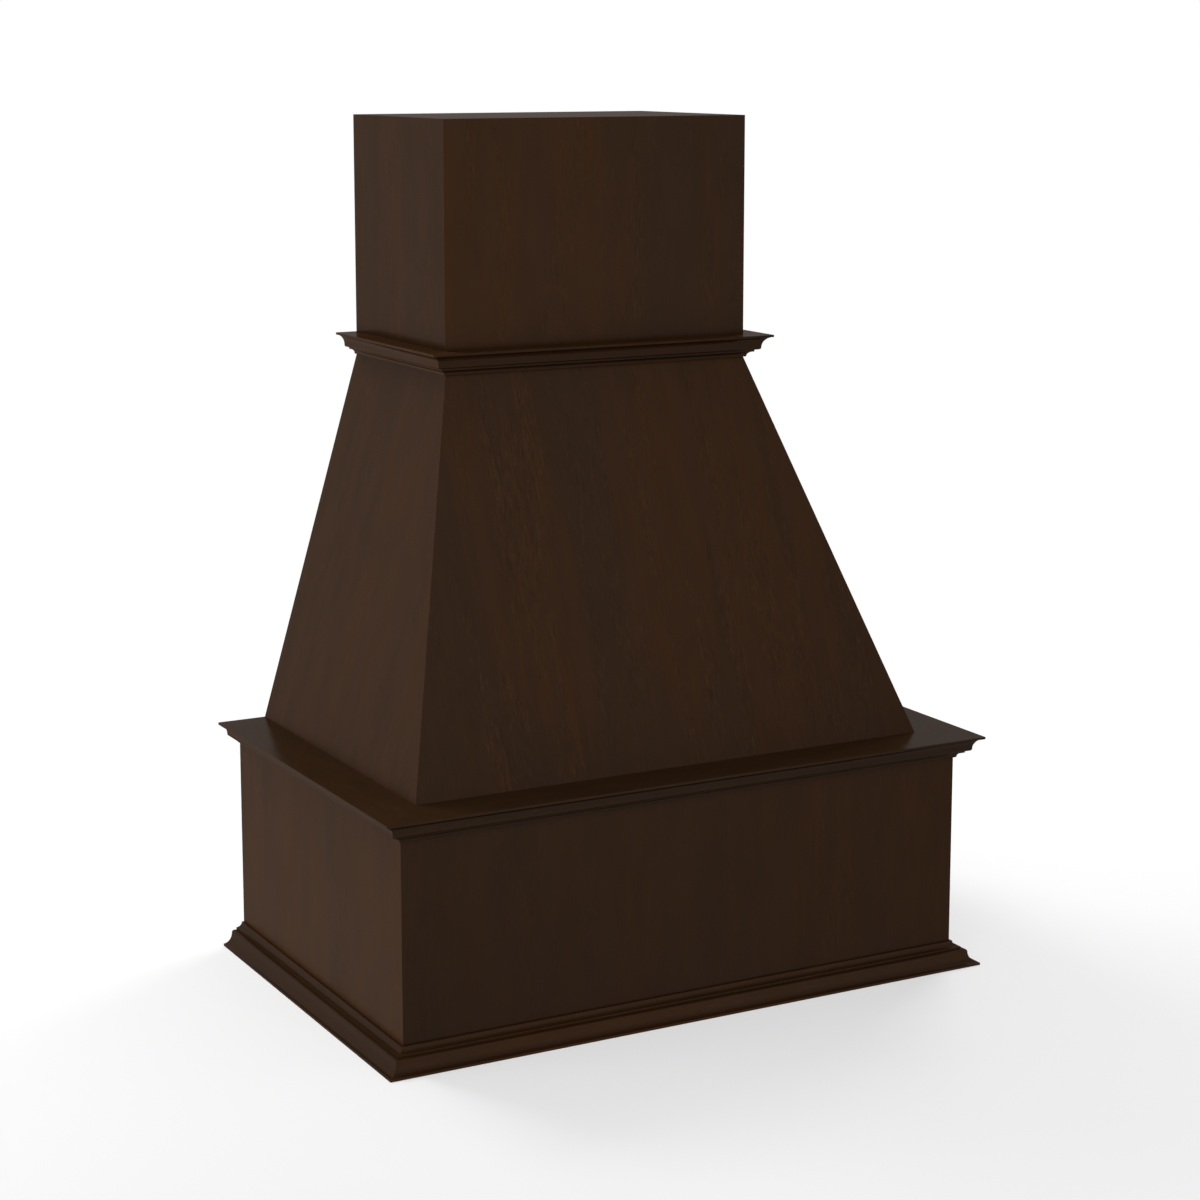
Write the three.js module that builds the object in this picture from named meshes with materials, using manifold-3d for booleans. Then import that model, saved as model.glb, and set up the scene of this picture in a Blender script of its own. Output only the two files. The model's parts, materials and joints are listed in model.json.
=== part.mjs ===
// A wooden cover for a kitchen range hood, which hangs on the wall above a cooker.
//
// A low apron box carries a flat ledge. A tapering body stands on the ledge, and a straight chimney on the body.
// Mitred mouldings wrap the apron's foot, the ledge and the chimney's foot, on the front and both sides.
// The back is open to the wall. The inside is free for a hood liner, its blower and the duct.
//
// Millimetres, +Z up. +X points right as seen from the front, the front faces -Y and the wall is at the back.
// The origin is on the underside, in the middle of the whole cover's footprint.

import * as THREE from "three";
import { mergeVertices } from "three/addons/utils/BufferGeometryUtils.js";
import Module from "manifold-3d";

const wasm = await Module();
wasm.setup();

// ---------------------------------------------------------------- driving dimensions

// The cover's outside, without the mouldings. Depths are measured from the wall.
const apronWidth = 762;
const apronDepth = 501;
const ledgeHeight = 298.4;
const ledgeSetback = 35; // apron's face to the taper's foot, on the front and both sides
const chimneyWidth = 419;
const chimneyDepth = 267;
const chimneyFootHeight = 763;
const overallHeight = 1068;

// Board thicknesses
const panelThickness = 19;
const ledgeThickness = 19;
const shelfThickness = 19;
const topThickness = 19;
const railThickness = 19;

// Moulding section: projection from the panel's face, and height along it
const mouldingProjection = 28.6;
const mouldingHeight = 28.6;
const lipHeight = 2.8; // square edge at the wide end
const noseProjection = 17; // widest point of the small round nose below the upper cove
const noseRadius = 2.9;
const stepProjection = 10.6; // small square step below the nose
const stepHeight = 2.8;
const footProjection = 3.1; // edge at the narrow end
const footHeight = 0.5;
const lowerCoveHeight = 6.1;

// Inside framing
const ledgeBoardWidth = 95;
const hangingRailHeight = 89;
const apronBlockSize = 38;
const taperBlockSize = 32;
const chimneyBlockSize = 25;
const cleatWidth = 19;
const cleatHeight = 38;
const footCleatWidth = 25;
const footCleatHeight = 25;
const topRailHeight = 38;

// Shelf for the hood liner
const shelfRecess = 38; // underside of the cover to the underside of the shelf
const linerCutoutWidth = 521;
const linerCutoutDepth = 267;

// Countersunk wood screws
const screwHeadRadius = 4;
const screwHeadHeight = 3;
const screwShankRadius = 2;
const screwTipLength = 6;
const shelfScrewLength = 38;
const chimneyScrewLength = 60;
const driveSlotLength = 4.4;
const driveSlotWidth = 1;
const driveSlotDepth = 1.6;
const shelfScrewSpacing = 400; // along the front and back cleats
const sideScrewInset = 43.5; // from the ends of the shelf's left and right boards
const chimneyScrewSpacing = 120;

// Clearances
const glueLine = 0.3; // between a sloping panel and the framing behind it
const screwClearance = 0.3;

// ---------------------------------------------------------------- places worked out from them

const apronHalf = apronWidth / 2;
const apronInnerHalf = apronHalf - panelThickness;
const apronInnerDepth = apronDepth - panelThickness;
const ledgeUnderside = ledgeHeight - ledgeThickness;

const taperHalfAtFoot = apronHalf - ledgeSetback;
const taperDepthAtFoot = apronDepth - ledgeSetback;
const taperHeight = chimneyFootHeight - ledgeHeight;
const topRailUnderside = chimneyFootHeight - topRailHeight;

const chimneyHalf = chimneyWidth / 2;
const chimneyInnerHalf = chimneyHalf - panelThickness;
const chimneyInnerDepth = chimneyDepth - panelThickness;
const topUnderside = overallHeight - topThickness;

const shelfTop = shelfRecess + shelfThickness;
const cleatTop = shelfTop + cleatHeight;
const shelfBoardDepth = (apronInnerDepth - linerCutoutDepth) / 2;

// How far the taper's outside moves in for each millimetre of height, and its panels' thickness cut level
const sideLean = (taperHalfAtFoot - chimneyHalf) / taperHeight;
const frontLean = (taperDepthAtFoot - chimneyDepth) / taperHeight;
const sideLevelThickness = panelThickness * Math.hypot(1, sideLean);
const frontLevelThickness = panelThickness * Math.hypot(1, frontLean);

const ARC_SEGMENTS = 10;
const SCREW_SIDES = 16;

// ---------------------------------------------------------------- finishes

const FINISHES = {
  panel: { color: 0x35251c, roughness: 0.42, metalness: 0 },
  moulding: { color: 0x38271d, roughness: 0.4, metalness: 0 },
  framing: { color: 0xc49a6c, roughness: 0.75, metalness: 0 },
  screw: { color: 0xb9b4a6, roughness: 0.35, metalness: 1 },
};

const cover = new THREE.Group();

function addPiece(name, geometry, finish) {
  const piece = new THREE.Mesh(geometry, new THREE.MeshStandardMaterial(FINISHES[finish]));
  piece.name = name;
  cover.add(piece);
}

// ---------------------------------------------------------------- shapes

function fromTriangles(points) {
  const geometry = new THREE.BufferGeometry().setFromPoints(points);
  geometry.computeVertexNormals();
  return geometry;
}

// Two triangles on the shorter diagonal, so that two pieces that share a sloping side share its triangles too.
function quad(a, b, c, d) {
  if (a.distanceTo(c) < b.distanceTo(d)) return [a, b, c, a, c, d];
  return [a, b, d, b, c, d];
}

// A solid between two four-cornered outlines, each given anticlockwise as seen from above.
function blockBetween(lower, upper) {
  const sides = lower.flatMap((corner, i) => {
    const next = (i + 1) % 4;
    return quad(corner, lower[next], upper[next], upper[i]);
  });
  return fromTriangles([...quad(...[...lower].reverse()), ...quad(...upper), ...sides]);
}

function outline(corners, z) {
  return corners.map(([x, y]) => new THREE.Vector3(x, y, z));
}

function rectangle([x0, x1], [y0, y1]) {
  return [[x0, y0], [x1, y0], [x1, y1], [x0, y1]];
}

function board(xRange, yRange, [z0, z1]) {
  const corners = rectangle(xRange, yRange);
  return blockBetween(outline(corners, z0), outline(corners, z1));
}

function solidOf(geometry) {
  const bare = geometry.clone();
  bare.deleteAttribute("normal");
  bare.deleteAttribute("uv");
  const merged = mergeVertices(bare);
  const vertProperties = merged.attributes.position.array;
  const triVerts = new Uint32Array(merged.index.array);
  return new wasm.Manifold(new wasm.Mesh({ numProp: 3, vertProperties, triVerts }));
}

function geometryOf(solid) {
  const mesh = solid.getMesh();
  const geometry = new THREE.BufferGeometry();
  geometry.setAttribute("position", new THREE.BufferAttribute(mesh.vertProperties, 3));
  geometry.setIndex(new THREE.BufferAttribute(mesh.triVerts, 1));
  const faceted = geometry.toNonIndexed();
  faceted.computeVertexNormals();
  return faceted;
}

function cutFrom(geometry, cutters) {
  const cut = cutters.reduce((solid, cutter) => solid.subtract(solidOf(cutter)), solidOf(geometry));
  return geometryOf(cut);
}

// ---------------------------------------------------------------- boards that wrap the front and both sides

// One level of such a wrap: the outside's half width and depth, and the boards' thickness cut level.
function level(z, half, depth, sideThickness, frontThickness = sideThickness) {
  return { z, half, depth, sideThickness, frontThickness };
}

const WRAP_CORNERS = {
  front: ({ half, depth, sideThickness, frontThickness }) => [
    [-half, -depth],
    [half, -depth],
    [half - sideThickness, -depth + frontThickness],
    [-half + sideThickness, -depth + frontThickness],
  ],
  left: ({ half, depth, sideThickness, frontThickness }) => [
    [-half, 0],
    [-half, -depth],
    [-half + sideThickness, -depth + frontThickness],
    [-half + sideThickness, 0],
  ],
  right: ({ half, depth, sideThickness, frontThickness }) => [
    [half, -depth],
    [half, 0],
    [half - sideThickness, 0],
    [half - sideThickness, -depth + frontThickness],
  ],
};

// A front, a left and a right board, mitred at the two front corners and cut off square at the wall.
function addMitredBoards(prefix, suffix, lower, upper) {
  for (const [side, corners] of Object.entries(WRAP_CORNERS)) {
    const geometry = blockBetween(outline(corners(lower), lower.z), outline(corners(upper), upper.z));
    addPiece(`${prefix}_${side}_${suffix}`, geometry, "panel");
  }
}

// ---------------------------------------------------------------- apron, ledge and chimney shells

function addApronPanels() {
  const foot = level(0, apronHalf, apronDepth, panelThickness);
  addMitredBoards("apron", "panel", foot, { ...foot, z: ledgeUnderside });
}

function addLedgeBoards() {
  const underside = level(ledgeUnderside, apronHalf, apronDepth, ledgeBoardWidth);
  addMitredBoards("ledge", "board", underside, { ...underside, z: ledgeHeight });
  const halfOpening = apronHalf - ledgeBoardWidth;
  const backBoard = board([-halfOpening, halfOpening], [-ledgeBoardWidth, 0], [ledgeUnderside, ledgeHeight]);
  addPiece("ledge_back_board", backBoard, "framing");
}

function addTaperPanels() {
  const thickness = [sideLevelThickness, frontLevelThickness];
  const foot = level(ledgeHeight, taperHalfAtFoot, taperDepthAtFoot, ...thickness);
  addMitredBoards("taper", "panel", foot, level(chimneyFootHeight, chimneyHalf, chimneyDepth, ...thickness));
}

function addChimneyPanels() {
  const foot = level(chimneyFootHeight, chimneyHalf, chimneyDepth, panelThickness);
  addMitredBoards("chimney", "panel", foot, { ...foot, z: overallHeight });
  const width = [-chimneyInnerHalf, chimneyInnerHalf];
  addPiece("chimney_top_panel", board(width, [-chimneyInnerDepth, 0], [topUnderside, overallHeight]), "panel");
}

// ---------------------------------------------------------------- framing of the apron and the chimney

function addPair(prefix, suffix, xOuter, xInner, yRange, zRange) {
  addPiece(`${prefix}_left_${suffix}`, board([-xOuter, -xInner], yRange, zRange), "framing");
  addPiece(`${prefix}_right_${suffix}`, board([xInner, xOuter], yRange, zRange), "framing");
}

function addApronFraming() {
  const blockBack = -apronInnerDepth + apronBlockSize;
  const blockInner = apronInnerHalf - apronBlockSize;
  const blockRise = [shelfTop, ledgeUnderside];
  addPair("apron", "corner_block", apronInnerHalf, blockInner, [-apronInnerDepth, blockBack], blockRise);
  const railRise = [ledgeUnderside - hangingRailHeight, ledgeUnderside];
  const rail = board([-apronInnerHalf, apronInnerHalf], [-railThickness, 0], railRise);
  addPiece("apron_hanging_rail", rail, "framing");
}

function addChimneyFraming() {
  const blockFront = -chimneyInnerDepth;
  const blockInner = chimneyInnerHalf - chimneyBlockSize;
  const blockDepth = [blockFront, blockFront + chimneyBlockSize];
  const blockRise = [chimneyFootHeight, topUnderside];
  addPair("chimney", "corner_block", chimneyInnerHalf, blockInner, blockDepth, blockRise);
  const railRise = [topUnderside - hangingRailHeight, topUnderside];
  const rail = board([-chimneyInnerHalf, chimneyInnerHalf], [-railThickness, 0], railRise);
  addPiece("chimney_hanging_rail", rail, "framing");
}

// ---------------------------------------------------------------- framing of the taper

// The taper's inner faces at a height, less the glue line
const taperInnerHalf = (z) => taperHalfAtFoot - sideLean * (z - ledgeHeight) - sideLevelThickness - glueLine;
const taperInnerDepth = (z) => taperDepthAtFoot - frontLean * (z - ledgeHeight) - frontLevelThickness - glueLine;

const mirrored = (corners) => corners.map(([x, y]) => [-x, y]).reverse();

// A piece of framing that follows the slopes: cornersAt gives its outline at a height.
function slopingBlock(cornersAt, [z0, z1]) {
  return blockBetween(outline(cornersAt(z0), z0), outline(cornersAt(z1), z1));
}

function addSlopingPair(prefix, suffix, leftCornersAt, zRange) {
  addPiece(`${prefix}_left_${suffix}`, slopingBlock(leftCornersAt, zRange), "framing");
  addPiece(`${prefix}_right_${suffix}`, slopingBlock((z) => mirrored(leftCornersAt(z)), zRange), "framing");
}

// Glue blocks that run up behind the two mitred corners
function addTaperCornerBlocks() {
  const cornersAt = (z) => {
    const x = -taperInnerHalf(z);
    const y = -taperInnerDepth(z);
    return rectangle([x, x + taperBlockSize], [y, y + taperBlockSize]);
  };
  addSlopingPair("taper", "corner_block", cornersAt, [ledgeHeight, topRailUnderside]);
}

// Bevelled cleats that hold the panels' feet to the ledge, between the corner blocks
function addTaperFootCleats() {
  const rise = [ledgeHeight, ledgeHeight + footCleatHeight];
  const frontInner = -taperInnerDepth(ledgeHeight) + footCleatWidth;
  const sideInner = -taperInnerHalf(ledgeHeight) + footCleatWidth;
  const clearOfBlock = taperBlockSize + glueLine;
  const frontCornersAt = (z) => {
    const end = taperInnerHalf(z) - clearOfBlock;
    return rectangle([-end, end], [-taperInnerDepth(z), frontInner]);
  };
  addPiece("taper_foot_front_cleat", slopingBlock(frontCornersAt, rise), "framing");
  const leftCornersAt = (z) => rectangle([-taperInnerHalf(z), sideInner], [clearOfBlock - taperInnerDepth(z), 0]);
  addSlopingPair("taper_foot", "cleat", leftCornersAt, rise);
}

const topRailInnerHalf = taperInnerHalf(chimneyFootHeight) - railThickness;

// Rails inside the taper's top edge, which the chimney is screwed to
function addTaperTopRails() {
  const rise = [topRailUnderside, chimneyFootHeight];
  const frontInner = -taperInnerDepth(chimneyFootHeight) + railThickness;
  const acrossAt = (z) => [-taperInnerHalf(z), taperInnerHalf(z)];
  const front = slopingBlock((z) => rectangle(acrossAt(z), [-taperInnerDepth(z), frontInner]), rise);
  const back = slopingBlock((z) => rectangle(acrossAt(z), [-railThickness, 0]), rise);
  addPiece("taper_top_front_rail", front, "framing");
  addPiece("taper_top_back_rail", back, "framing");
  const leftCornersAt = (z) => rectangle([-taperInnerHalf(z), -topRailInnerHalf], [frontInner, -railThickness]);
  const left = slopingBlock(leftCornersAt, rise);
  const right = slopingBlock((z) => mirrored(leftCornersAt(z)), rise);
  const holes = chimneyScrewPlaces().map((place) => screwHole(place));
  addPiece("taper_top_left_rail", cutFrom(left, holes), "framing");
  addPiece("taper_top_right_rail", cutFrom(right, holes), "framing");
}

// ---------------------------------------------------------------- screws

// A screw's half outline from the head's flat face, or the hole for it when grown by a clearance.
function screwShape(length, grow) {
  const profile = [
    [0, -grow],
    [screwHeadRadius + grow, -grow],
    [screwShankRadius + grow, screwHeadHeight],
    [screwShankRadius + grow, length - screwTipLength],
    [0, length + grow],
  ].map(([radius, height]) => new THREE.Vector2(radius, height));
  return new THREE.LatheGeometry(profile, SCREW_SIDES).rotateX(Math.PI / 2);
}

// A place is where the centre of the head's flat face lies. The screw points up from it.
function movedTo(geometry, { x, y, z }) {
  return geometry.translate(x, y, z);
}

function screwHole(place) {
  return movedTo(screwShape(place.length, screwClearance), place);
}

function addScrew(place) {
  const slot = [driveSlotLength, driveSlotWidth];
  const arms = [slot, [...slot].reverse()].map(([x, y]) => new THREE.BoxGeometry(x, y, 2 * driveSlotDepth));
  addPiece(place.name, movedTo(cutFrom(screwShape(place.length, 0), arms), place), "screw");
}

function shelfScrewPlaces() {
  const onCleat = cleatWidth / 2;
  const sideFront = -apronInnerDepth + shelfBoardDepth + sideScrewInset;
  const sideBack = -shelfBoardDepth - sideScrewInset;
  const places = [];
  for (const [side, sign] of [["left", -1], ["right", 1]]) {
    const along = (sign * shelfScrewSpacing) / 2;
    const across = sign * (apronInnerHalf - onCleat);
    places.push({ name: `shelf_screw_front_${side}`, x: along, y: -apronInnerDepth + onCleat });
    places.push({ name: `shelf_screw_back_${side}`, x: along, y: -onCleat });
    places.push({ name: `shelf_screw_${side}_front`, x: across, y: sideFront });
    places.push({ name: `shelf_screw_${side}_back`, x: across, y: sideBack });
  }
  return places.map((place) => ({ ...place, z: shelfRecess, length: shelfScrewLength }));
}

function chimneyScrewPlaces() {
  const x = topRailInnerHalf + railThickness / 2;
  const middle = -chimneyInnerDepth / 2;
  const near = { z: topRailUnderside, length: chimneyScrewLength };
  return [["left", -x], ["right", x]].flatMap(([side, across]) => [
    { name: `chimney_screw_${side}_front`, x: across, y: middle - chimneyScrewSpacing / 2, ...near },
    { name: `chimney_screw_${side}_back`, x: across, y: middle + chimneyScrewSpacing / 2, ...near },
  ]);
}

// ---------------------------------------------------------------- screwed framing

// Cleats inside the chimney's foot, which stand on the taper's top rails and take the screws from below
function addChimneyFootCleats() {
  const holes = chimneyScrewPlaces().map((place) => screwHole(place));
  const inner = chimneyInnerHalf - cleatWidth;
  const run = [-chimneyInnerDepth + chimneyBlockSize, 0];
  const rise = [chimneyFootHeight, chimneyFootHeight + cleatHeight];
  const left = board([-chimneyInnerHalf, -inner], run, rise);
  const right = board([inner, chimneyInnerHalf], run, rise);
  addPiece("chimney_foot_left_cleat", cutFrom(left, holes), "framing");
  addPiece("chimney_foot_right_cleat", cutFrom(right, holes), "framing");
}

// The liner shelf: four boards round the cut-out, screwed from below to four cleats on the apron's inside
function addLinerShelf() {
  const holes = shelfScrewPlaces().map((place) => screwHole(place));
  const addDrilled = (name, xRange, yRange, zRange) => {
    addPiece(name, cutFrom(board(xRange, yRange, zRange), holes), "framing");
  };
  const boards = [shelfRecess, shelfTop];
  const across = [-apronInnerHalf, apronInnerHalf];
  const halfCutout = linerCutoutWidth / 2;
  const front = -apronInnerDepth;
  addDrilled("shelf_front_board", across, [front, front + shelfBoardDepth], boards);
  addDrilled("shelf_back_board", across, [-shelfBoardDepth, 0], boards);
  const beside = [front + shelfBoardDepth, -shelfBoardDepth];
  addDrilled("shelf_left_board", [-apronInnerHalf, -halfCutout], beside, boards);
  addDrilled("shelf_right_board", [halfCutout, apronInnerHalf], beside, boards);

  const cleats = [shelfTop, cleatTop];
  const betweenBlocks = apronInnerHalf - apronBlockSize;
  const inner = apronInnerHalf - cleatWidth;
  const run = [front + apronBlockSize, -cleatWidth];
  addDrilled("shelf_front_cleat", [-betweenBlocks, betweenBlocks], [front, front + cleatWidth], cleats);
  addDrilled("shelf_back_cleat", across, [-cleatWidth, 0], cleats);
  addDrilled("shelf_left_cleat", [-apronInnerHalf, -inner], run, cleats);
  addDrilled("shelf_right_cleat", [inner, apronInnerHalf], run, cleats);
}

// ---------------------------------------------------------------- mouldings

// The section: x is the projection from the panel's face, and y the distance from the wide end.
// From the wide end it has a square lip, a deep cove, a round nose, a square step and a small cove.
function mouldingSection() {
  const quarter = Math.PI / 2;
  const lowerCoveEnd = mouldingHeight - footHeight;
  const stepEnd = lowerCoveEnd - lowerCoveHeight;
  const noseEnd = stepEnd - stepHeight;
  const noseTop = noseEnd - noseRadius;
  const upperCove = [mouldingProjection - noseProjection, noseTop - lipHeight];
  const lowerCove = [stepProjection - footProjection, lowerCoveHeight];
  const section = new THREE.Shape();
  section.moveTo(0, 0);
  section.lineTo(mouldingProjection, 0);
  section.lineTo(mouldingProjection, lipHeight);
  section.absellipse(mouldingProjection, noseTop, ...upperCove, -quarter, -2 * quarter, true);
  section.absarc(noseProjection - noseRadius, noseTop, noseRadius, 0, quarter, false);
  section.lineTo(stepProjection, noseEnd);
  section.lineTo(stepProjection, stepEnd);
  section.absellipse(stepProjection, lowerCoveEnd, ...lowerCove, -quarter, -2 * quarter, true);
  section.lineTo(footProjection, mouldingHeight);
  section.lineTo(0, mouldingHeight);
  return section;
}

// Where a point of the section lies on each run: s is its projection, and t goes from 0 to 1 along the run.
const MOULDING_RUNS = {
  front: (half, depth, s, t) => [t ? half + s : -half - s, -depth - s],
  left: (half, depth, s, t) => [-half - s, t ? -depth - s : 0],
  right: (half, depth, s, t) => [half + s, t ? 0 : -depth - s],
};

// A front, a left and a right length of moulding round a box, mitred at the front corners.
// The wide end is at the given height, and the section runs up or down from it.
function addMouldings(prefix, half, depth, wideEnd, direction) {
  const settings = { depth: 1, steps: 1, bevelEnabled: false, curveSegments: ARC_SEGMENTS };
  for (const [side, place] of Object.entries(MOULDING_RUNS)) {
    const run = new THREE.ExtrudeGeometry(mouldingSection(), settings);
    const points = run.attributes.position;
    for (let i = 0; i < points.count; i++) {
      const [x, y] = place(half, depth, points.getX(i), points.getZ(i));
      points.setXYZ(i, x, y, wideEnd + direction * points.getY(i));
    }
    // Running up, the section is placed as a mirror image, so its triangles are turned round to face out.
    if (direction > 0) turnTriangles(points);
    run.computeVertexNormals();
    addPiece(`${prefix}_${side}_moulding`, run, "moulding");
  }
}

function turnTriangles(points) {
  const corner = (i) => [points.getX(i), points.getY(i), points.getZ(i)];
  for (let i = 0; i < points.count; i += 3) {
    const [second, third] = [corner(i + 1), corner(i + 2)];
    points.setXYZ(i + 1, ...third);
    points.setXYZ(i + 2, ...second);
  }
}

// ---------------------------------------------------------------- assembly

addApronPanels();
addApronFraming();
addLinerShelf();
addLedgeBoards();
addTaperPanels();
addTaperCornerBlocks();
addTaperFootCleats();
addTaperTopRails();
addChimneyPanels();
addChimneyFraming();
addChimneyFootCleats();
addMouldings("base", apronHalf, apronDepth, 0, 1);
addMouldings("ledge", apronHalf, apronDepth, ledgeHeight, -1);
addMouldings("collar", chimneyHalf, chimneyDepth, chimneyFootHeight + mouldingHeight, -1);
[...shelfScrewPlaces(), ...chimneyScrewPlaces()].forEach(addScrew);

// The pieces above are placed from the wall, and the origin is in the middle of the footprint.
cover.position.y = (apronDepth + mouldingProjection) / 2;

const rangeHoodCover = new THREE.Group();
rangeHoodCover.add(cover);

export default rangeHoodCover;
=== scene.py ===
"""A wooden range hood cover, finished in a dark espresso stain outside and left as bare wood inside.

The pieces come from the frame at their real size. This script gives each its finish, eases the edges of
the framing, and sets the floor, the lights and the camera. Places are in metres. Inside the wood
materials lengths are in millimetres, and colours are linear.
"""

import json
import math

import bpy
import numpy as np
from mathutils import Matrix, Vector


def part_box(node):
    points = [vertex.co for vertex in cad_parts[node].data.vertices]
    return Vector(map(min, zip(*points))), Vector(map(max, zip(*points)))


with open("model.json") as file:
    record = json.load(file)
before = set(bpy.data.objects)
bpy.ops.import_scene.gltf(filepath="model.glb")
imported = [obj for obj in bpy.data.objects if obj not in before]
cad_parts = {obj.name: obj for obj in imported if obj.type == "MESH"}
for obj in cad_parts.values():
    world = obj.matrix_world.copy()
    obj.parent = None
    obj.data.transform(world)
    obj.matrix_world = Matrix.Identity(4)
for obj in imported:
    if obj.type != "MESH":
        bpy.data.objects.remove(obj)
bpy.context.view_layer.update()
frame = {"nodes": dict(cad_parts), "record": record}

MM = 0.001
UP, DOWN = Vector((0, 0, 1)), Vector((0, 0, -1))
OUTWARD = {"front": Vector((0, -1, 0)), "left": Vector((-1, 0, 0)), "right": Vector((1, 0, 0))}
RUN = {"front": Vector((1, 0, 0)), "left": Vector((0, 1, 0)), "right": Vector((0, 1, 0))}

# ---------------------------------------------------------------- colours

STAIN_WARM = (0.0395, 0.0149, 0.0041)
STAIN_COOL = (0.0290, 0.0138, 0.0061)
STAIN_DEEP = (0.0185, 0.0080, 0.0035)
STAIN_PORE = (0.0105, 0.0048, 0.0024)
STAIN_RUBBED = (0.0650, 0.0280, 0.0110)

VENEER_EARLY = (0.60, 0.42, 0.245)
VENEER_LATE = (0.47, 0.30, 0.155)
POPLAR_EARLY = (0.58, 0.43, 0.250)
POPLAR_LATE = (0.42, 0.29, 0.140)
POPLAR_HEART = (0.34, 0.30, 0.150)
PLY_CROSSWISE = (0.33, 0.205, 0.105)
END_GRAIN_LEVEL = 0.62

ZINC = (0.60, 0.585, 0.53)
ZINC_CLOUD = (0.33, 0.29, 0.20)

FLOOR_COLOUR = (0.9, 0.9, 0.9)
WHITE = (1.0, 1.0, 1.0)

# ---------------------------------------------------------------- finishes

WOOD_IOR = 1.5
COAT_WEIGHT = 0.11
COAT_ROUGHNESS = 0.18
STAIN_ROUGHNESS = (0.40, 0.52)
BARE_ROUGHNESS = (0.68, 0.82)
ZINC_ROUGHNESS = (0.28, 0.50)
METAL_SPECULAR = 0.5

# how strongly the figure shows through the stain, from 0 to 1
PANEL_FIGURE = {"taper_front_panel": 1.0, "chimney_front_panel": 0.7, "apron_front_panel": 0.45}
SIDE_FIGURE, MOULDING_FIGURE = 0.6, 0.5

# how much warmer each front leaf gets per millimetre to the right
DRIFT = {"taper_front_panel": 0.0009, "chimney_front_panel": -0.0012, "apron_front_panel": 0.0007}

# painted light and shade on the apron's panels: how much lighter or darker their stain is drawn
PANEL_PAINTED_LIGHT = {"apron_front_panel": 0.95, "apron_left_panel": 1.24, "apron_right_panel": 1.24}

# painted light and shade drawn into a moulding's stain: how light it is on its outward faces and on its
# top, how dark its flats are, and how much warmer it is, for the front moulding and for the two at the
# sides
LEDGE_WARMTH = -0.4
MOULDING_LIGHT_AND_STAIN = {
    "base": ((1.35, 1.35, 0.70, 0.0), (0.92, 0.92, 1.0, -0.4)),
    "ledge": ((0.90, 1.0, 0.62, LEDGE_WARMTH), (1.3, 1.0, 0.62, LEDGE_WARMTH)),
    "collar": ((0.68, 1.5, 0.62, 0.0), (1.3, 1.15, 0.62, 0.0)),
}

MEAN_WARMTH = 0.45  # of stain without figure
BAND_WARMTH = 0.45  # what a warm band adds
STREAK_WARMTH = (0.15, 0.55)  # between the warm bands and in them
LATE_STAIN = 0.08  # how much late wood shows through the stain
STROKE_STRENGTH = 0.42
STROKE_HEIGHT = (0.02, 0.25)  # millimetres, between the clusters and in them
RUBBED_SHARE = (0.1, 0.5)  # of an arris, from its least to its most rubbed places
WEAR_REACH = 0.9 * MM
# painted shade in inside corners: how far it reaches and how dark it gets
CORNER_REACH, CORNER_LEVEL = 2.0 * MM, 0.8

BARE_LATE, BARE_HEART = 0.75, 0.5
FIBRE_HEIGHT, RING_HEIGHT = 0.05, 0.03
PLY_THICKNESS = 2.7
PLY_WAVE = 0.35
PLY_CROSSWISE_SHARE, PLY_CROSSWISE_HEIGHT = 0.75, -0.08
GLUE_LINE, GLUE_LEVEL = 0.05, 0.6  # its width as a share of two plies
SPECK_HEIGHT = 0.02

# growth rings: distance between them, slope of the pith along the board, and depth of the pith behind it
STAINED_RINGS = (17.0, 0.022, 150.0)
VENEER_RINGS = (9.0, 0.024, 150.0)
POPLAR_RINGS = (5.5, 0.024, 48.0)
RING_WANDER, RING_SWAY, RING_RIPPLE = 26.0, 18.0, 1.6

# the noises: size of their blotches across, through and along the grain
BAND_SIZE = (70, 70, 480)
STREAK_SIZE = (8, 8, 130)
BLOTCH_SIZE = (30, 30, 85)
STROKE_SIZE = (1.4, 1.4, 14)
CLUSTER_SIZE = (22, 22, 230)
RUB_SIZE = (5, 5, 40)
WANDER_SIZE = (90, 90, 420)
RIPPLE_SIZE = (9, 9, 60)
BROAD_SIZE = (60, 60, 600)
FINE_SIZE = (1.5, 1.5, 70)
FIBRE_SIZE = (0.5, 0.5, 14)
HEART_SIZE = (34, 34, 900)
PLY_WAVE_SIZE = (30, 30, 90)
CLOUD_SIZE = (2.4, 2.4, 2.4)
SPECK_SIZE = (0.4, 0.4, 0.4)

NOISE_SPAN = (0.3, 0.7)  # nearly all of a noise lies in it
PIECE_SHIFT = Vector((137.0, 61.0, 811.0))  # between one piece's place in the noises and the next one's

EASED_EDGE = 0.7 * MM
EASED_ABOVE = math.radians(40)
SMOOTH_BELOW = math.radians(28)
WELD_DISTANCE = 0.001 * MM
FACING = 0.6  # the least cosine between a surface's normal and the direction in which it looks

# ---------------------------------------------------------------- camera, floor and light

CAMERA_PLACE = (-1.5601, -2.8722, 1.1462)
CAMERA_TURN = math.radians(-28.558)
CAMERA_TILT = math.radians(-9.422)
CAMERA_LENS = 79.58
CAMERA_SENSOR = 36
CAMERA_SHIFT_UP = -0.09
CAMERA_CLIP = (0.05, 60)

FLOOR_HALF = 14.0
FLOOR_DROP = 0.2 * MM  # keeps the floor just clear of the cover's underside
FLOOR_FADE = (0.5, 1.7)  # distances from the middle over which the floor fades into the backdrop
FLOOR_FADE_AT_FOOT = 0.5

HORIZON_LEVEL = 0.58
ZENITH_LEVEL = 0.42
GROUND_LEVEL = 0.6
SKY_RISE = (0.1, 0.9)  # heights over which the light goes from the horizon's level to the zenith's
GROUND_RISE = (-0.3, 0.0)

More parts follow.
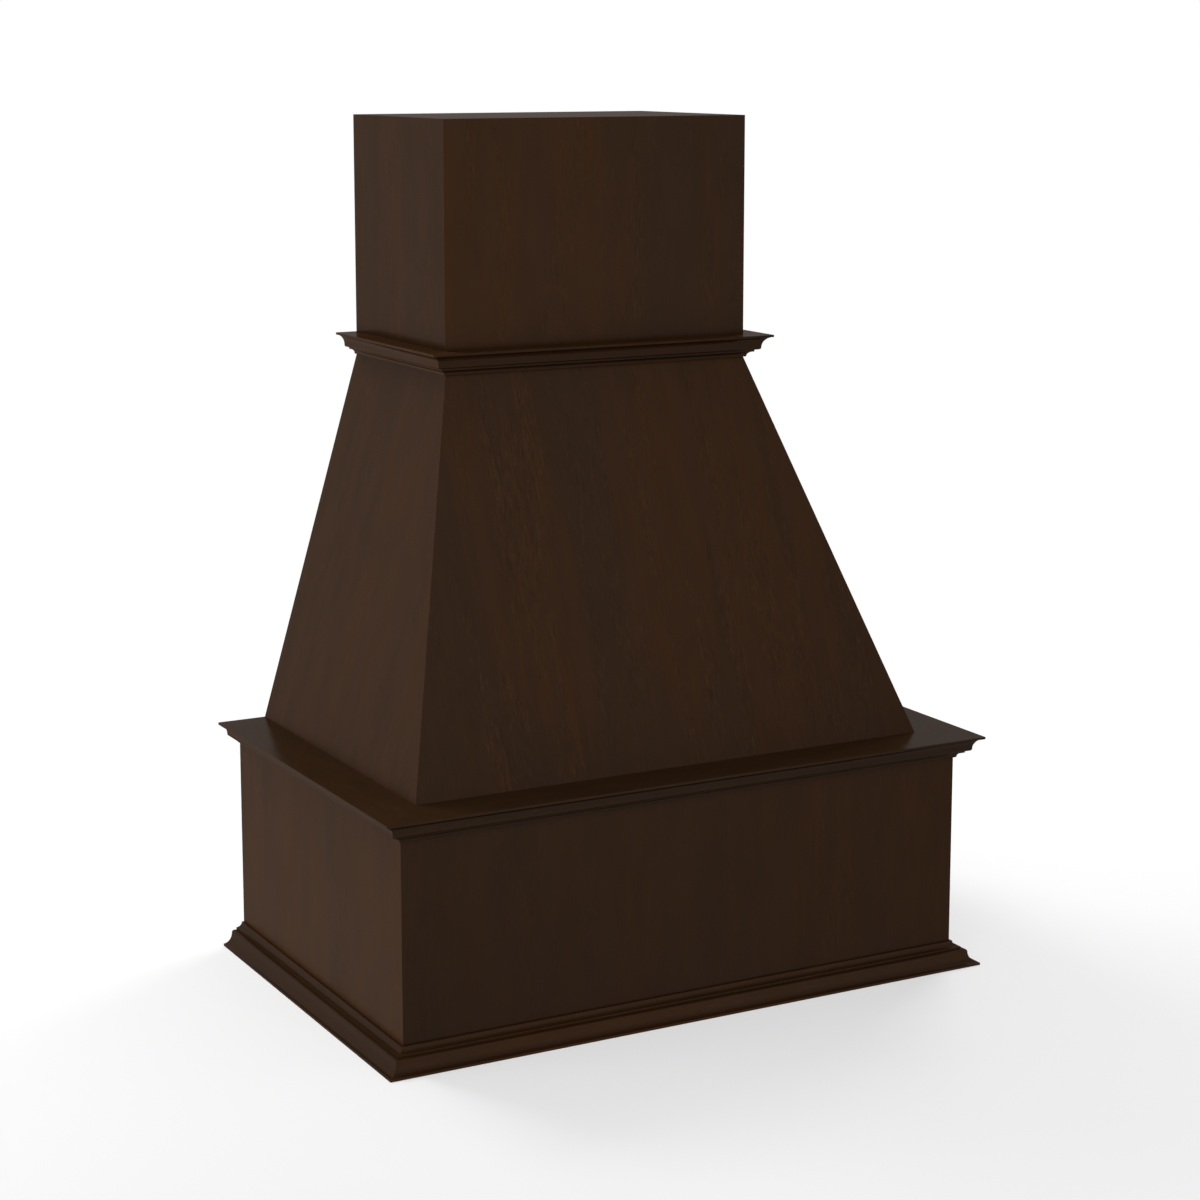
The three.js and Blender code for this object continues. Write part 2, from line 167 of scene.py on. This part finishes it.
# name: place, point aimed at, width and height, watts, colour
LAMPS = {
    "key_softbox": ((-0.42, -0.95, 0.87), (0.0, 0.0, 1.15), (0.8, 0.8), 5.2, WHITE),
    "left_softbox": ((-2.0, 0.25, 0.3), (-0.2, 0.0, 0.3), (1.0, 1.0), 18.5, WHITE),
    "high_softbox": ((-1.0, 2.3, 2.6), (0.0, 0.0, 0.6), (1.2, 1.2), 60, WHITE),
    "right_softbox": ((1.7, 1.1, 1.7), (0.2, 0.0, 0.4), (1.0, 1.0), 28, WHITE),
}


# ---------------------------------------------------------------- shader graphs


class Graph:
    """Adds nodes to a shader tree, and wires them in the order in which they are written."""

    def __init__(self, tree):
        self.tree = tree

    def put(self, socket, value):
        if isinstance(value, bpy.types.NodeSocket):
            self.tree.links.new(value, socket)
        elif socket.type == "RGBA":
            socket.default_value = (*value, 1.0)
        else:
            socket.default_value = value

    def node(self, kind, inputs=(), **settings):
        node = self.tree.nodes.new("ShaderNode" + kind)
        for name, value in settings.items():
            setattr(node, name, value)
        for name, value in dict(inputs).items():
            self.put(node.inputs[name], value)
        return node

    def math(self, operation, *values):
        return self.node("Math", enumerate(values), operation=operation).outputs[0]

    def product(self, first, *others):
        for other in others:
            first = self.math("MULTIPLY", first, other)
        return first

    def vector(self, operation, *values):
        node = self.node("VectorMath", enumerate(values), operation=operation)
        return node.outputs["Value" if operation in ("DOT_PRODUCT", "LENGTH") else "Vector"]

    def combine(self, x, y, z):
        return self.node("CombineXYZ", {"X": x, "Y": y, "Z": z}).outputs[0]

    def ease(self, value, low, high, to_low=0.0, to_high=1.0):
        """Goes smoothly from one output to the other as the value goes from low to high."""
        inputs = {"Value": value, "From Min": low, "From Max": high, "To Min": to_low, "To Max": to_high}
        return self.node("MapRange", inputs, interpolation_type="SMOOTHSTEP").outputs["Result"]

    def spread(self, noise, low, high):
        """Spreads a noise over the range from low to high."""
        return self.ease(noise, *NOISE_SPAN, low, high)

    def noise(self, at, size, detail=2.0, roughness=0.5, distortion=0.0):
        """Noise whose blotches have that size, in millimetres across, through and along the grain."""
        inputs = {
            "Vector": self.vector("DIVIDE", at, Vector(size)),
            "Scale": 1.0,
            "Detail": detail,
            "Roughness": roughness,
            "Distortion": distortion,
        }
        return self.node("TexNoise", inputs).outputs["Fac"]

    def mix(self, share, first, second):
        """Mixes two colours."""
        node = self.node("Mix", data_type="RGBA")
        for index, value in ((0, share), (6, first), (7, second)):
            self.put(node.inputs[index], value)
        return node.outputs[2]

    def blend(self, share, first, second):
        """Mixes two numbers."""
        node = self.node("Mix", data_type="FLOAT")
        for index, value in ((0, share), (2, first), (3, second)):
            self.put(node.inputs[index], value)
        return node.outputs[0]

    def shade(self, colour, level):
        """Scales a colour by a number."""
        return self.vector("MULTIPLY", colour, self.combine(level, level, level))


def new_material(name):
    material = bpy.data.materials.new(name)
    material.use_nodes = True
    material.node_tree.nodes.clear()
    return material, Graph(material.node_tree)


SOCKETS = {"number": "NodeSocketFloat", "vector": "NodeSocketVector", "colour": "NodeSocketColor"}


def make_group(name, inputs, outputs, build):
    """A shader node group. Its build function gets the graph and the inputs, and returns the outputs."""
    group = bpy.data.node_groups.new(name, "ShaderNodeTree")
    for direction, sockets in (("INPUT", inputs), ("OUTPUT", outputs)):
        for label, kind in sockets.items():
            group.interface.new_socket(label, in_out=direction, socket_type=SOCKETS[kind])
    graph = Graph(group)
    start = group.nodes.new("NodeGroupInput")
    end = group.nodes.new("NodeGroupOutput")
    for label, value in zip(outputs, build(graph, *(start.outputs[label] for label in inputs))):
        graph.put(end.inputs[label], value)
    return group


def use_group(graph, group, inputs):
    node = graph.node("Group", node_tree=group)
    for label, value in inputs.items():
        graph.put(node.inputs[label], value)
    return node.outputs


# ---------------------------------------------------------------- where the grain runs


class Grain:
    """A piece's own directions: along the grain, through its thickness and across."""

    def __init__(self, node, along, through, seed):
        low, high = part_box(node)
        self.middle = (low + high) / 2
        self.along = along.normalized()
        self.through = (through - through.dot(self.along) * self.along).normalized()
        self.across = self.along.cross(self.through)
        self.shift = PIECE_SHIFT * seed


def build_grain(graph, middle, across, through, along, shift):
    """Where a point lies in its piece, and how the surface is cut there.

    The place is in millimetres across, through and along the grain. Moved is the same place, shifted so
    that no two pieces are alike.
    """
    from_middle = graph.vector("SUBTRACT", graph.node("TexCoord").outputs["Object"], middle)
    distances = [graph.vector("DOT_PRODUCT", from_middle, axis) for axis in (across, through, along)]
    place = graph.vector("DIVIDE", graph.combine(*distances), Vector((MM, MM, MM)))
    normal = graph.node("NewGeometry").outputs["True Normal"]
    on_end = graph.math("ABSOLUTE", graph.vector("DOT_PRODUCT", normal, along))
    on_face = graph.math("ABSOLUTE", graph.vector("DOT_PRODUCT", normal, through))
    return place, graph.vector("ADD", place, shift), on_end, on_face


def facing(graph, directions):
    """1 where the surface faces one of the directions, and 0 elsewhere."""
    normal = graph.node("NewGeometry").outputs["True Normal"]
    nearest = 0.0
    for direction in directions:
        nearest = graph.math("MAXIMUM", graph.vector("DOT_PRODUCT", normal, direction), nearest)
    return graph.math("GREATER_THAN", nearest, FACING)


def late_wood(graph, place, moved, rings):
    """The dark late wood of growth rings round a pith outside the board.

    Each ring darkens slowly and ends at once.
    """
    spacing, slope, pith = rings
    wander = graph.noise(moved, WANDER_SIZE)
    ripple = graph.noise(moved, RIPPLE_SIZE)
    across, through, along = graph.node("SeparateXYZ", {0: place}).outputs
    depth = graph.math("ADD", through, graph.math("MULTIPLY_ADD", along, slope, pith))
    depth = graph.math("MULTIPLY_ADD", wander, RING_WANDER, depth)
    sideways = graph.math("MULTIPLY_ADD", wander, RING_SWAY, across)
    radius = graph.vector("LENGTH", graph.combine(sideways, depth, 0.0))
    radius = graph.math("MULTIPLY_ADD", ripple, RING_RIPPLE, radius)
    ring = graph.math("FRACT", graph.math("DIVIDE", radius, spacing))
    return graph.product(graph.ease(ring, 0.35, 0.92), graph.ease(ring, 0.94, 1.0, 1.0, 0.0))


def edge_wear(graph, moved):
    """1 at a rubbed arris and 0 away from it, by how far a rounded edge would turn the surface."""
    rounded = graph.node("Bevel", {"Radius": WEAR_REACH}, samples=4).outputs[0]
    turn = graph.vector("DOT_PRODUCT", rounded, graph.node("NewGeometry").outputs["Normal"])
    patchy = graph.ease(graph.noise(moved, RUB_SIZE), 0.35, 0.65, *RUBBED_SHARE)
    return graph.product(graph.ease(turn, 0.80, 0.995, 1.0, 0.0), patchy)


def painted_corner_shade(graph):
    """Painted shade: darker in inside corners, by how open the surface is there."""
    openness = graph.node("AmbientOcclusion", {"Distance": CORNER_REACH}, samples=6).outputs["AO"]
    return graph.ease(openness, 0.4, 0.9, CORNER_LEVEL, 1.0)


def painted_light_and_shade(graph, stain):
    """Painted light and shade: a moulding's top and its flats are drawn lighter or darker than its outward
    faces.
    """
    if stain.narrow_end is None:
        return stain.tone
    normal = graph.node("NewGeometry").outputs["Normal"]
    upward = graph.vector("DOT_PRODUCT", normal, UP)
    inward = graph.vector("DOT_PRODUCT", normal, stain.narrow_end)
    return graph.product(
        graph.ease(upward, 0.7, 0.9, stain.tone, stain.top_tone),
        graph.ease(inward, 0.45, 0.8, 1.0, stain.flats_tone),
    )


# ---------------------------------------------------------------- wood

LAYER = {"Colour": "colour", "Roughness": "number", "Height": "number"}


class Stain:
    """How a piece took the stain, the painted light and shade drawn into it, and which of its surfaces have
    it.
    """

    faces = ()  # the directions in which they look
    where = None  # builds a mask that keeps the stain to a part of them
    figure = 1.0  # how strongly the figure shows
    drift = 0.0  # how much warmer the stain gets per millimetre across the grain
    warmer = 0.0  # how much warmer it is all over
    tone = top_tone = flats_tone = 1.0  # painted light on outward faces and on a moulding's top, painted shade on its flats
    narrow_end = None  # where a moulding's flats and cove ends look

    def __init__(self, **settings):
        for name, value in settings.items():
            setattr(self, name, value)


def build_stained(graph, place, moved, figure, drift, warmer):
    """Wood under a dark stain: cool ground, ragged warm streaks, and clusters of short raised strokes.

    It gets warmer across the grain by the drift, and all over by warmer.
    """
    bands = graph.ease(graph.noise(moved, BAND_SIZE), 0.38, 0.64)
    streaks = graph.noise(moved, STREAK_SIZE, detail=4, roughness=0.6, distortion=0.25)
    streaks = graph.ease(streaks, 0.50, 0.68)
    blotches = graph.noise(moved, BLOTCH_SIZE, detail=3)
    strokes = graph.noise(moved, STROKE_SIZE, roughness=0.6)
    clusters = graph.ease(graph.noise(moved, CLUSTER_SIZE), 0.46, 0.62, 0.1, 1.0)
    late = late_wood(graph, place, moved, STAINED_RINGS)

    warmth = graph.math("MULTIPLY", streaks, graph.blend(bands, *STREAK_WARMTH))
    warmth = graph.math("MULTIPLY_ADD", bands, BAND_WARMTH, warmth)
    across = graph.node("SeparateXYZ", {0: place}).outputs[0]
    warmth = graph.math("MULTIPLY_ADD", across, drift, graph.blend(figure, MEAN_WARMTH, warmth))
    warmth = graph.math("ADD", warmth, warmer)
    colour = graph.mix(warmth, STAIN_COOL, STAIN_WARM)
    colour = graph.mix(graph.product(late, figure, LATE_STAIN), colour, STAIN_DEEP)

    amount = graph.product(clusters, figure)
    troughs = graph.product(graph.ease(strokes, 0.30, 0.46, 1.0, 0.0), amount, STROKE_STRENGTH)
    # painted highlight: the raised strokes are drawn lighter, as where light catches their relief
    ridge_highlights = graph.product(graph.ease(strokes, 0.54, 0.70), amount, STROKE_STRENGTH)
    colour = graph.mix(troughs, colour, STAIN_PORE)
    # painted shade in inside corners darkens the stain here
    level = graph.product(
        graph.spread(blotches, 0.95, 1.05), graph.math("ADD", ridge_highlights, 1.0), painted_corner_shade(graph)
    )

    roughness = graph.spread(strokes, *STAIN_ROUGHNESS)
    height = graph.product(strokes, graph.blend(amount, *STROKE_HEIGHT))
    return graph.shade(colour, level), roughness, height


def bare_wood(early, late, heart, rings):
    """A builder for unfinished planed wood. The heart is the colour of its broad streaks."""

    def build(graph, place, moved):
        ring = late_wood(graph, place, moved, rings)
        broad = graph.noise(moved, BROAD_SIZE)
        fine = graph.noise(moved, FINE_SIZE, detail=3, roughness=0.6)
        fibre = graph.noise(moved, FIBRE_SIZE)
        colour = graph.mix(graph.math("MULTIPLY", ring, BARE_LATE), early, late)
        streak = graph.ease(graph.noise(moved, HEART_SIZE, detail=1), 0.55, 0.70)
        colour = graph.mix(graph.math("MULTIPLY", streak, BARE_HEART), colour, heart)
        level = graph.product(
            graph.spread(broad, 0.92, 1.06), graph.spread(fine, 0.93, 1.05), graph.spread(fibre, 0.95, 1.04)
        )
        roughness = graph.spread(fine, *BARE_ROUGHNESS)
        height = graph.math("MULTIPLY_ADD", fibre, FIBRE_HEIGHT, graph.math("MULTIPLY", ring, RING_HEIGHT))
        return graph.shade(colour, level), roughness, height

    return build


def build_plies(graph, place, moved, colour):
    """The edge of plywood: thin layers, every other one end grain, with dark glue lines between."""
    through = graph.node("SeparateXYZ", {0: place}).outputs[1]
    wave = graph.math("MULTIPLY", graph.noise(moved, PLY_WAVE_SIZE), PLY_WAVE)
    pair = graph.math("DIVIDE", graph.math("ADD", through, wave), 2 * PLY_THICKNESS)
    ply = graph.math("FRACT", graph.math("ADD", pair, 100.0))  # the 100 keeps it above zero
    crosswise = graph.math("LESS_THAN", ply, 0.5)
    colour = graph.mix(graph.math("MULTIPLY", crosswise, PLY_CROSSWISE_SHARE), colour, PLY_CROSSWISE)
    from_glue = graph.math("ABSOLUTE", graph.math("SUBTRACT", ply, 0.5))
    level = graph.ease(from_glue, 0.0, GLUE_LINE, GLUE_LEVEL, 1.0)
    height = graph.math("MULTIPLY", crosswise, PLY_CROSSWISE_HEIGHT)
    return graph.shade(colour, level), BARE_ROUGHNESS[1], height


GRAIN = {name: "vector" for name in ("Middle", "Across", "Through", "Along", "Shift")}
PLACES = {"Place": "vector", "Moved": "vector"}
TURNS = {"On end": "number", "On face": "number"}
TINTS = {"Figure": "number", "Drift": "number", "Warmer": "number"}
BARE_VENEER = bare_wood(VENEER_EARLY, VENEER_LATE, VENEER_LATE, VENEER_RINGS)
BARE_POPLAR = bare_wood(POPLAR_EARLY, POPLAR_LATE, POPLAR_HEART, POPLAR_RINGS)
GROUPS = {
    "grain": make_group("grain_directions", GRAIN, {**PLACES, **TURNS}, build_grain),
    "stained": make_group("stained_wood", {**PLACES, **TINTS}, LAYER, build_stained),
    "veneer": make_group("bare_veneer", PLACES, LAYER, BARE_VENEER),
    "poplar": make_group("bare_poplar", PLACES, LAYER, BARE_POPLAR),
    "plies": make_group("plywood_edge", {**PLACES, "Colour": "colour"}, LAYER, build_plies),
}


def choose(graph, mask, first, second):
    """Takes the first layer where the mask is 0, and the second where it is 1."""
    return graph.mix(mask, first[0], second[0]), *(graph.blend(mask, first[i], second[i]) for i in (1, 2))


def finish_surface(graph, layer, metallic=0.0, coat=0.0):
    """Ends a graph in its surface. Heights are in millimetres."""
    colour, roughness, height = layer
    raised = graph.node("Bump", {"Height": height, "Distance": MM, "Strength": 1.0}).outputs[0]
    inputs = {
        "Base Color": colour,
        "Roughness": roughness,
        "Normal": raised,
        "Metallic": metallic,
        "IOR": WOOD_IOR,
        "Specular IOR Level": METAL_SPECULAR if metallic else 0.0,
        "Coat Weight": coat,
        "Coat Roughness": COAT_ROUGHNESS,
        "Coat Normal": raised,
    }
    surface = graph.node("BsdfPrincipled", inputs).outputs[0]
    graph.node("OutputMaterial", {"Surface": surface})


def outside_taper(graph):
    """1 outside the taper's foot and 0 inside it, where the finish never reached the ledge."""
    x, y = graph.node("SeparateXYZ", {0: graph.node("TexCoord").outputs["Object"]}).outputs[:2]
    low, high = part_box("taper_foot_front_cleat")
    in_front = graph.math("LESS_THAN", y, (low.y + high.y) / 2)
    low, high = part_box("taper_foot_right_cleat")
    beside = graph.math("GREATER_THAN", graph.math("ABSOLUTE", x), (low.x + high.x) / 2)
    return graph.math("MAXIMUM", in_front, beside)


def wood_material(name, grain, plywood, stain=None):
    """Solid wood or plywood, stained where the stain says and bare elsewhere."""
    material, graph = new_material(name)
    axes = (grain.middle, grain.across, grain.through, grain.along, grain.shift)
    place, moved, on_end, on_face = use_group(graph, GROUPS["grain"], dict(zip(GRAIN, axes)))
    places = {"Place": place, "Moved": moved}
    if plywood:
        face = use_group(graph, GROUPS["veneer"], places)
        edge = use_group(graph, GROUPS["plies"], {**places, "Colour": face[0]})
        layer = choose(graph, graph.math("GREATER_THAN", on_face, 0.5), edge, face)
    else:
        colour, roughness, height = use_group(graph, GROUPS["poplar"], places)
        level = graph.ease(on_end, 0.7, 0.9, 1.0, END_GRAIN_LEVEL)
        layer = (graph.shade(colour, level), roughness, height)
    if stain:
        tints = dict(zip(TINTS, (stain.figure, stain.drift, stain.warmer)))
        colour, roughness, height = use_group(graph, GROUPS["stained"], {**places, **tints})
        # painted light and shade: the stain drawn lighter or darker where more or less light falls
        colour = graph.shade(colour, painted_light_and_shade(graph, stain))
        colour = graph.mix(edge_wear(graph, moved), colour, STAIN_RUBBED)
        mask = facing(graph, stain.faces)
        if stain.where:
            mask = graph.product(mask, stain.where(graph))
        layer = choose(graph, mask, layer, (colour, roughness, height))
    finish_surface(graph, layer, coat=COAT_WEIGHT if stain else 0.0)
    return material


def zinc_material():
    """Zinc plate with dull clouds."""
    material, graph = new_material("zinc_plate")
    place = graph.vector("DIVIDE", graph.node("TexCoord").outputs["Object"], Vector((MM, MM, MM)))
    cloud = graph.noise(place, CLOUD_SIZE, detail=3)
    speck = graph.noise(place, SPECK_SIZE)
    colour = graph.mix(graph.ease(cloud, 0.45, 0.75), ZINC, ZINC_CLOUD)
    roughness = graph.spread(cloud, *ZINC_ROUGHNESS)
    finish_surface(graph, (colour, roughness, graph.math("MULTIPLY", speck, SPECK_HEIGHT)), metallic=1.0)
    return material


# ---------------------------------------------------------------- which finish each piece gets


def main_face(node, towards):
    """The outward direction of the piece's largest face that looks that way."""
    faces = [face for face in frame["nodes"][node].data.polygons if face.normal.dot(towards) > FACING]
    return max(faces, key=lambda face: face.area).normal.copy()


def long_and_thin(node):
    """The piece's longest and shortest directions."""
    points = np.array([vertex.co for vertex in frame["nodes"][node].data.vertices])
    directions = np.linalg.eigh(np.cov(points.T))[1]
    return Vector(directions[:, 2]), Vector(directions[:, 0])


def side_of(node):
    return next((side for side in OUTWARD if side in node.split("_")), None)


def moulding_material(name, node, side, seed):
    place = node.split("_")[0]
    tone, top_tone, flats_tone, warmer = MOULDING_LIGHT_AND_STAIN[place][side != "front"]
    stain = Stain(
        faces=[OUTWARD[side], UP, DOWN],
        figure=MOULDING_FIGURE,
        warmer=warmer,
        tone=tone,
        top_tone=top_tone,
        flats_tone=flats_tone,
        narrow_end=UP if place == "base" else DOWN,
    )
    return wood_material(name, Grain(node, RUN[side], OUTWARD[side], seed), False, stain)


def panel_material(name, node, side, seed):
    outward = main_face(node, OUTWARD[side])
    upward = UP - UP.dot(outward) * outward
    stain = Stain(
        faces=[outward, UP, DOWN],
        figure=PANEL_FIGURE.get(node, SIDE_FIGURE),
        drift=DRIFT.get(node, 0.0),
        tone=PANEL_PAINTED_LIGHT.get(node, 1.0),
    )
    return wood_material(name, Grain(node, upward, outward, seed), True, stain)


def material_for(node, seed):
    """A material of the piece's own, with the grain as it was cut."""
    name = "wood_" + node
    side = side_of(node)
    if node.endswith("_moulding"):
        return moulding_material(name, node, side, seed)
    if node == "chimney_top_panel":
        stain = Stain(faces=[UP], figure=SIDE_FIGURE)
        return wood_material(name, Grain(node, RUN["front"], UP, seed), True, stain)
    if node.endswith("_panel"):
        return panel_material(name, node, side, seed)
    if node.startswith("ledge_") and side:
        stain = Stain(faces=[UP], where=outside_taper, figure=MOULDING_FIGURE, warmer=LEDGE_WARMTH)
        return wood_material(name, Grain(node, RUN[side], UP, seed), False, stain)
    plywood = node.startswith("shelf_") and node.endswith("_board")
    return wood_material(name, Grain(node, *long_and_thin(node), seed), plywood)


def dress_nodes():
    zinc = zinc_material()
    for seed, (node, piece) in enumerate(sorted(frame["nodes"].items()), start=1):
        material = zinc if "_screw_" in node else material_for(node, seed)
        for slot in piece.material_slots:
            slot.material = material


# ---------------------------------------------------------------- edges


def ease_edges(piece):
    """Rounds the arrises a little, as sandpaper leaves them."""
    piece.modifiers.new("weld", "WELD").merge_threshold = WELD_DISTANCE
    bevel = piece.modifiers.new("eased_edges", "BEVEL")
    bevel.width = EASED_EDGE
    bevel.segments = 2
    bevel.limit_method = "ANGLE"
    bevel.angle_limit = EASED_ABOVE
    bevel.harden_normals = True


def make_smooth_coves():
    """A node group that shades coves and round noses smoothly, and keeps the arrises sharp."""
    group = bpy.data.node_groups.new("smooth_coves", "GeometryNodeTree")
    for direction in ("INPUT", "OUTPUT"):
        group.interface.new_socket("Geometry", in_out=direction, socket_type="NodeSocketGeometry")
    new, link = group.nodes.new, group.links.new
    start, end = new("NodeGroupInput"), new("NodeGroupOutput")
    plain = new("GeometryNodeRemoveAttribute")
    plain.inputs["Name"].default_value = "custom_normal"
    joined = new("GeometryNodeMergeByDistance")
    joined.inputs["Distance"].default_value = WELD_DISTANCE
    faces = new("GeometryNodeSetShadeSmooth")
    edges = new("GeometryNodeSetShadeSmooth")
    edges.domain = "EDGE"
    gentle = new("FunctionNodeCompare")
    gentle.operation = "LESS_THAN"
    gentle.inputs["B"].default_value = SMOOTH_BELOW
    link(new("GeometryNodeInputMeshEdgeAngle").outputs["Unsigned Angle"], gentle.inputs["A"])
    link(gentle.outputs[0], edges.inputs["Shade Smooth"])
    chain = (start, plain, joined, faces, edges, end)
    for before, after in zip(chain, chain[1:]):
        link(before.outputs[0], after.inputs[0])
    return group


def shape_nodes():
    smooth_coves = make_smooth_coves()
    slots = {part["node"]: part["material_slot"] for part in frame["record"]["subparts"]}
    for node, piece in frame["nodes"].items():
        if node.endswith("_moulding") or "_screw_" in node:
            piece.modifiers.new("smooth_coves", "NODES").node_group = smooth_coves
        elif slots[node] == "bare_framing":
            ease_edges(piece)


# ---------------------------------------------------------------- floor, light and camera


def add_object(name, data, place=(0, 0, 0)):
    item = bpy.data.objects.new(name, data)
    item.location = place
    bpy.context.scene.collection.objects.link(item)
    return item


def seen_or_mirrored(graph):
    """1 for what is seen directly or in a reflection, and 0 for light that falls on a surface."""
    path = graph.node("LightPath").outputs
    seen = graph.math("MAXIMUM", path["Is Camera Ray"], path["Is Glossy Ray"])
    return graph.math("MAXIMUM", seen, path["Is Transmission Ray"])


def add_floor():
    """A pale floor that keeps the cover's shadow and fades into the backdrop away from it.

    From below it can't be seen, and it throws no light on the cover.
    """
    size, level = FLOOR_HALF, -FLOOR_DROP
    corners = [(-size, -size, level), (size, -size, level), (size, size, level), (-size, size, level)]
    mesh = bpy.data.meshes.new("studio_floor")
    mesh.from_pydata(corners, [], [(0, 1, 2, 3)])
    material, graph = new_material("pale_floor")
    distance = graph.vector("LENGTH", graph.node("TexCoord").outputs["Object"])
    fade = graph.ease(distance, *FLOOR_FADE, FLOOR_FADE_AT_FOOT, 1.0)
    path = graph.node("LightPath").outputs
    mirrored = graph.math("MAXIMUM", path["Is Glossy Ray"], path["Is Transmission Ray"])
    fade = graph.math("MAXIMUM", graph.math("MULTIPLY", fade, path["Is Camera Ray"]), mirrored)
    matt = graph.node("BsdfDiffuse", {"Color": FLOOR_COLOUR}).outputs[0]
    backdrop = graph.node("Emission", {"Color": WHITE, "Strength": 1.0}).outputs[0]
    above = graph.node("MixShader", {0: fade, 1: matt, 2: backdrop}).outputs[0]
    below = graph.node("BsdfTransparent").outputs[0]
    underneath = graph.node("NewGeometry").outputs["Backfacing"]
    surface = graph.node("MixShader", {0: underneath, 1: above, 2: below}).outputs[0]
    graph.node("OutputMaterial", {"Surface": surface})
    mesh.materials.append(material)
    floor = add_object("studio_floor", mesh)
    floor.visible_diffuse = False


def set_world():
    """Soft light from all round, less of it from overhead, with a white backdrop.

    The light from below stands for what a pale floor would throw back.
    """
    world = bpy.data.worlds.new("studio")
    world.use_nodes = True
    world.node_tree.nodes.clear()
    graph = Graph(world.node_tree)
    rise = graph.node("SeparateXYZ", {0: graph.node("TexCoord").outputs["Generated"]}).outputs[2]
    light = graph.ease(rise, *SKY_RISE, HORIZON_LEVEL, ZENITH_LEVEL)
    light = graph.blend(graph.ease(rise, *GROUND_RISE), GROUND_LEVEL, light)
    level = graph.blend(seen_or_mirrored(graph), light, 1.0)
    background = graph.node("Background", {"Color": WHITE, "Strength": level}).outputs[0]
    graph.node("OutputWorld", {"Surface": background})
    bpy.context.scene.world = world


def add_lamps():
    for name, (place, target, (width, height), watts, colour) in LAMPS.items():
        light = bpy.data.lights.new(name, "AREA")
        light.shape = "RECTANGLE"
        light.size = width
        light.size_y = height
        light.energy = watts
        light.color = colour
        lamp = add_object(name, light, place)
        lamp.rotation_euler = (Vector(target) - Vector(place)).to_track_quat("-Z", "Y").to_euler()
        lamp.visible_camera = lamp.visible_glossy = False


def add_camera():
    lens = bpy.data.cameras.new("photo_camera")
    lens.sensor_width = CAMERA_SENSOR
    lens.lens = CAMERA_LENS
    lens.shift_y = CAMERA_SHIFT_UP
    lens.clip_start, lens.clip_end = CAMERA_CLIP
    camera = add_object("photo_camera", lens, CAMERA_PLACE)
    camera.rotation_euler = (math.pi / 2 + CAMERA_TILT, 0, CAMERA_TURN)
    bpy.context.scene.camera = camera


# ---------------------------------------------------------------- the picture

shape_nodes()
dress_nodes()
add_floor()
set_world()
add_lamps()
add_camera()
bpy.context.scene.view_settings.view_transform = "Standard"
